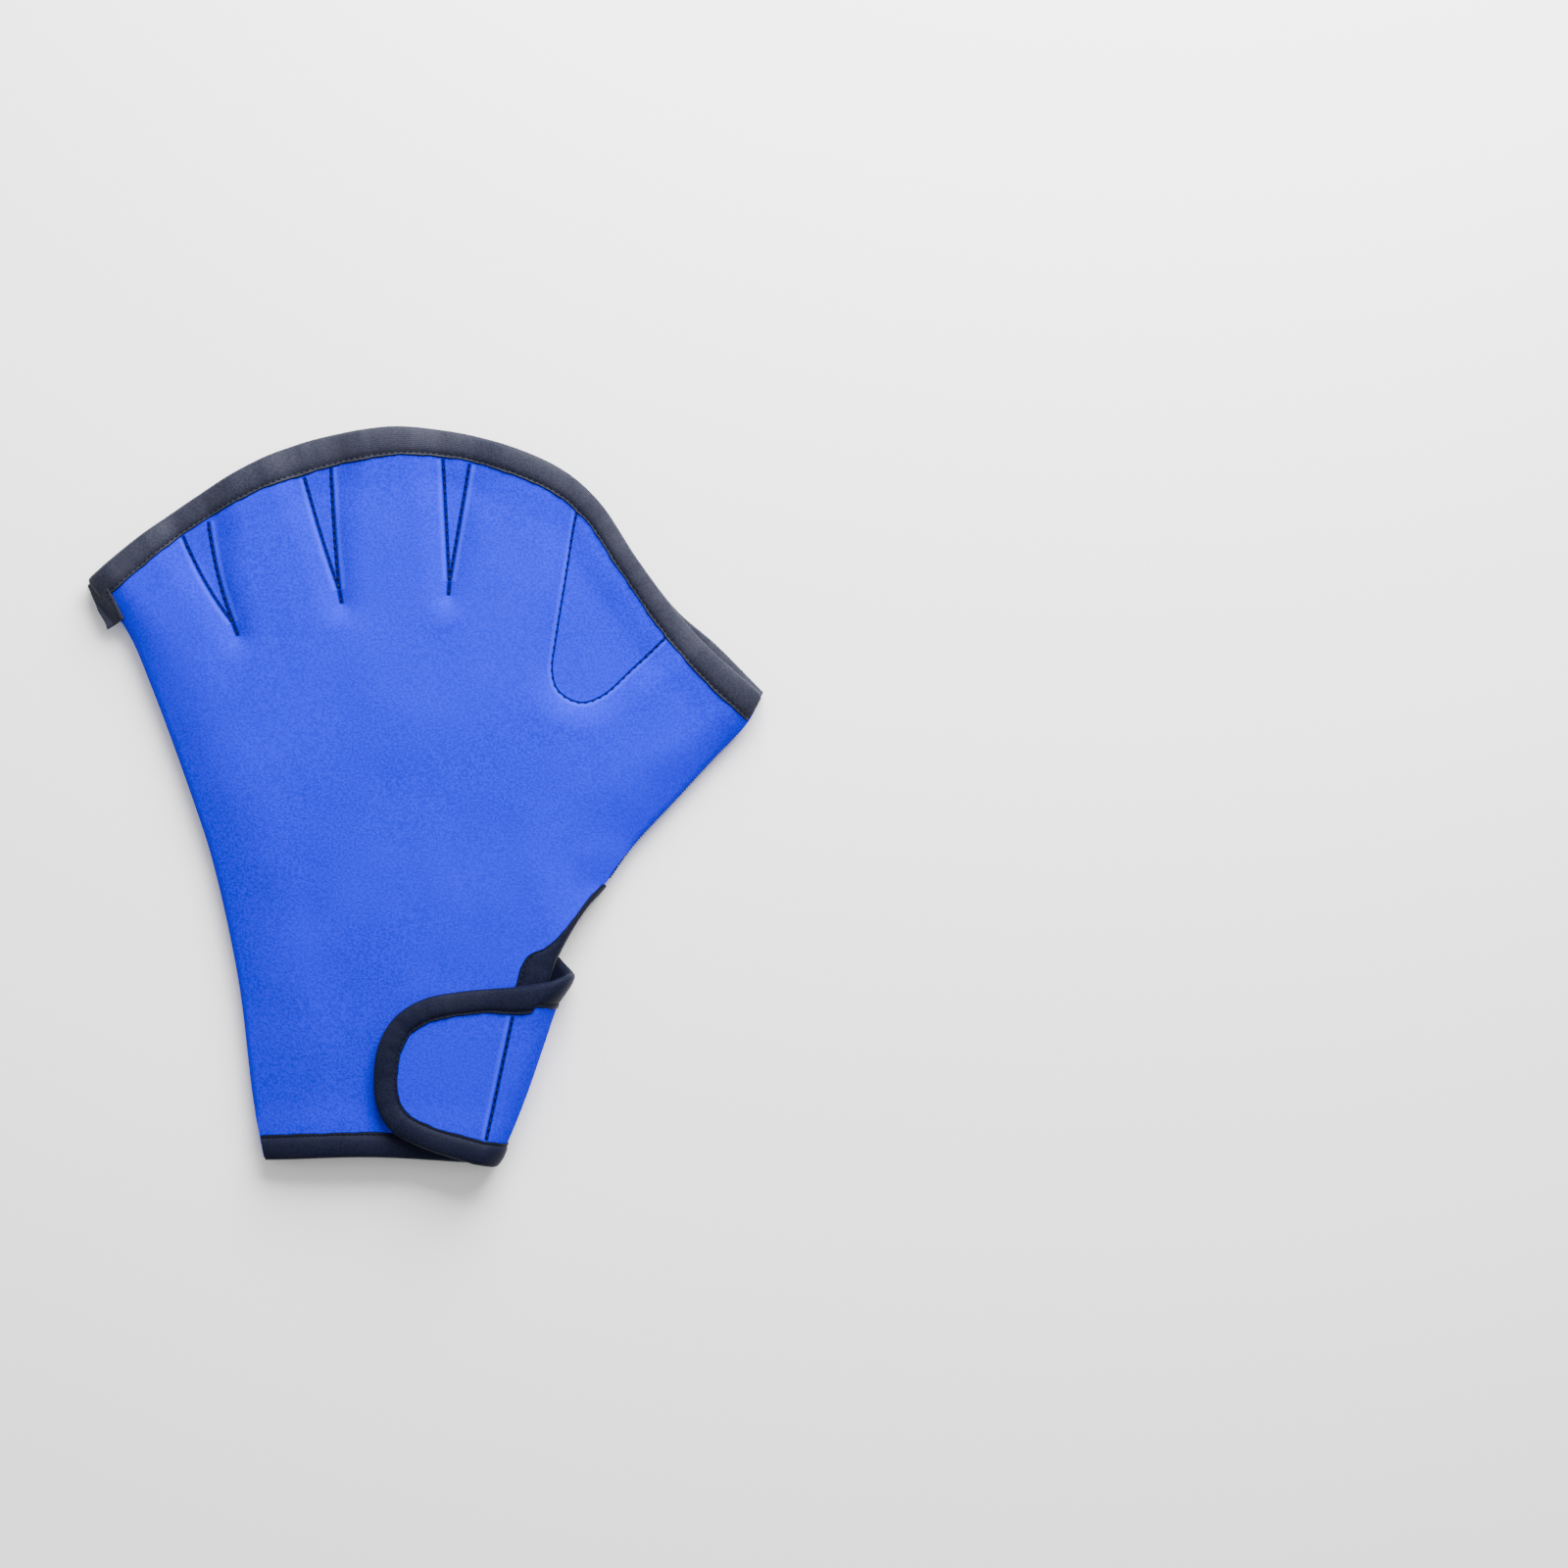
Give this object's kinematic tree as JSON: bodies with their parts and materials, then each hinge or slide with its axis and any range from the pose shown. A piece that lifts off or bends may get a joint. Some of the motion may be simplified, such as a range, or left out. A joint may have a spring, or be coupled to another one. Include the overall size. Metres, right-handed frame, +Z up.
{
  "type": "fingerless swim glove",
  "caption": "Webbed fingerless swim glove in stretch neoprene with bound edges and a wrap-round wrist tab, left hand, lying palm down.",
  "frame": {"origin": "centre of the bounding box's bottom, on the floor under the palm", "axes": "+X across the hand from the little finger to the thumb, +Y from the wrist to the fingers, +Z up from the floor, from the palm to the back of the hand"},
  "size_m": [0.2, 0.2194, 0.0157],
  "materials": {
    "neoprene": "matte knitted face",
    "binding_tape": "matte knitted tape",
    "hook_tape": "matte hooked face"
  },
  "bodies": {
    "root": {"back_panel": "neoprene", "palm_panel": "neoprene", "mouth_binding_back": "binding_tape", "mouth_binding_palm": "binding_tape", "binding_end": "binding_tape", "wrist_binding_back": "binding_tape", "slit_binding": "binding_tape", "tab_binding": "binding_tape", "hook_patch": "hook_tape"}
  },
  "joints": []
}
